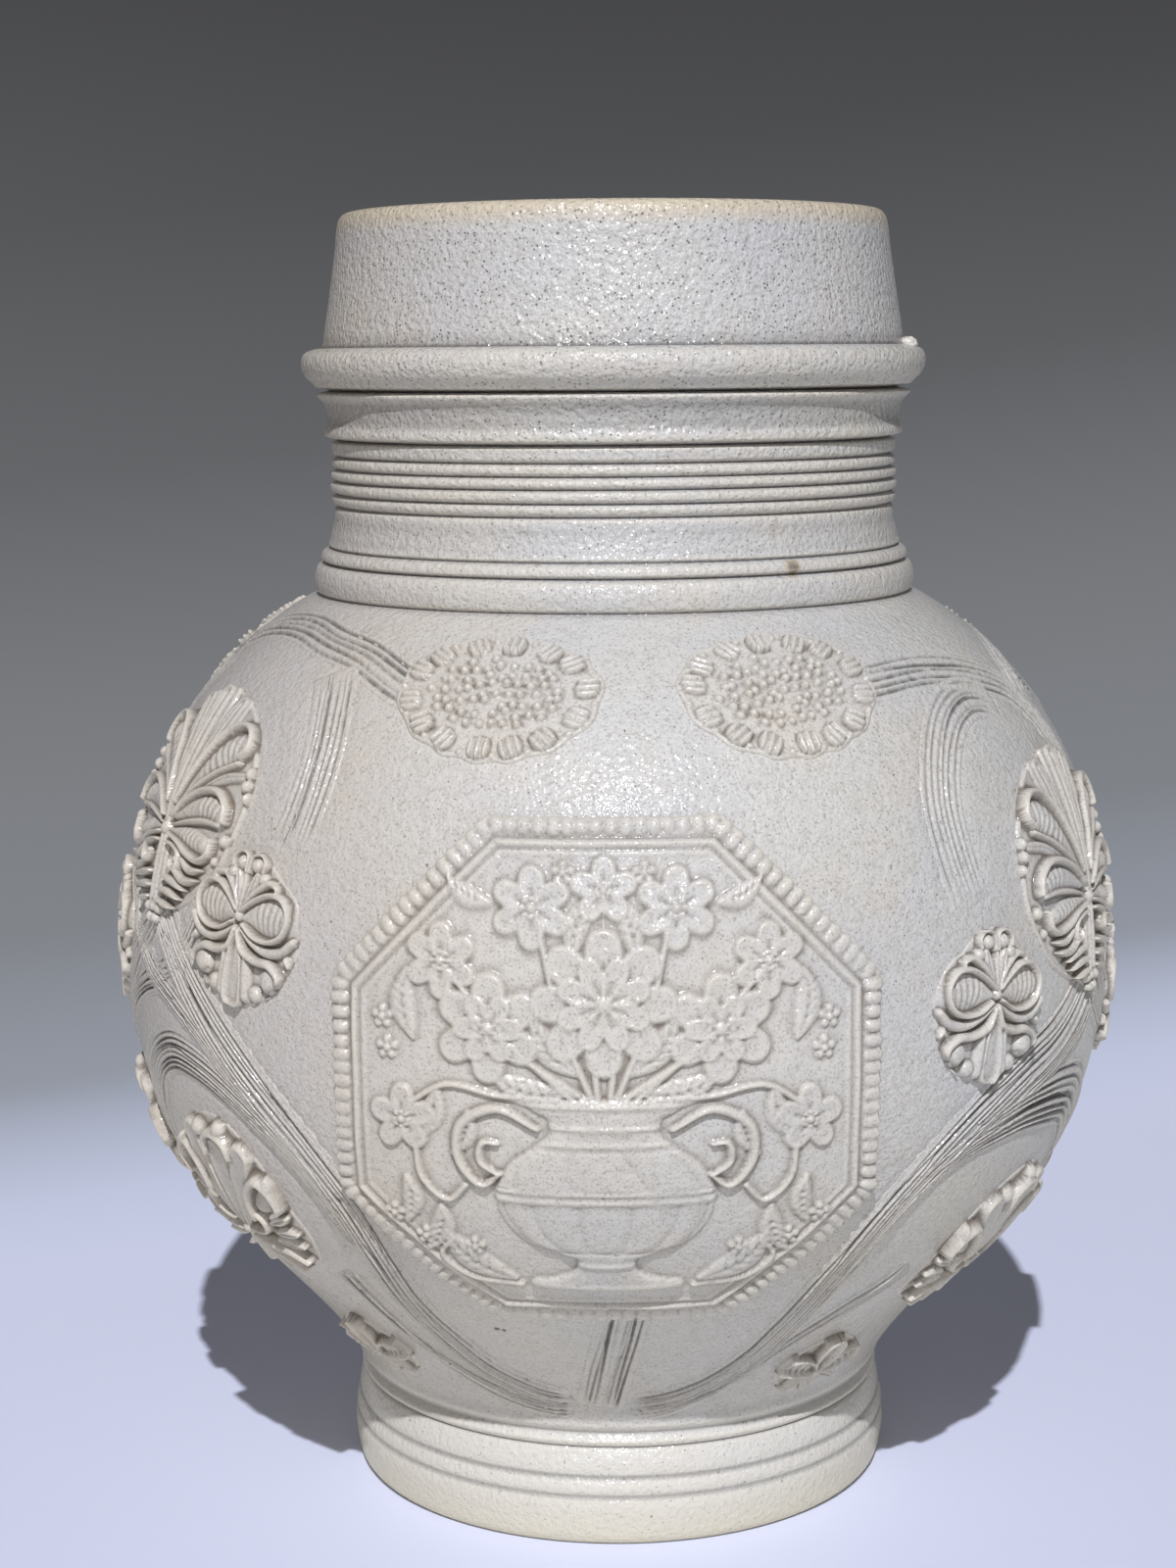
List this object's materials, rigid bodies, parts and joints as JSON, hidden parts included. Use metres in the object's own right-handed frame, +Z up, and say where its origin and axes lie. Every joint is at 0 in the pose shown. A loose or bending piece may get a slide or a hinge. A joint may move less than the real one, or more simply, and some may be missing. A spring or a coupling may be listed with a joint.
{
  "type": "jug",
  "caption": "salt-glazed stoneware jug with a ball-shaped belly on a turned foot, cordoned neck, strap handle and moulded relief sprigs round an octagonal medallion",
  "frame": {"origin": "centre of the flat underside of the foot, on the axis of the jug", "axes": "+Z up along the jug's axis, -Y towards the medallion on the front, +Y towards the handle"},
  "size_m": [0.1941, 0.1964, 0.24],
  "materials": {
    "thrown_stoneware": "pale grey salt glaze with an orange-peel surface and fine brown specks",
    "pulled_stoneware": "pale grey salt glaze over pulled grooves",
    "moulded_stoneware": "pale grey salt glaze, warmer on the raised edges"
  },
  "bodies": {
    "root": {"thrown_body": "thrown_stoneware", "strap_handle": "pulled_stoneware", "octagonal_medallion": "moulded_stoneware", "shoulder_rosette_front_left": "moulded_stoneware", "shoulder_rosette_front_right": "moulded_stoneware", "shoulder_rosette_side_left": "moulded_stoneware", "shoulder_rosette_side_right": "moulded_stoneware", "great_palmette_left": "moulded_stoneware", "great_palmette_right": "moulded_stoneware", "small_palmette_front_left": "moulded_stoneware", "small_palmette_front_right": "moulded_stoneware", "small_palmette_side_left": "moulded_stoneware", "small_palmette_side_right": "moulded_stoneware", "lower_palmette_front_left": "moulded_stoneware", "lower_palmette_front_right": "moulded_stoneware", "lower_palmette_side_left": "moulded_stoneware", "lower_palmette_side_right": "moulded_stoneware", "foot_palmette_left": "moulded_stoneware", "foot_palmette_right": "moulded_stoneware"}
  },
  "joints": []
}
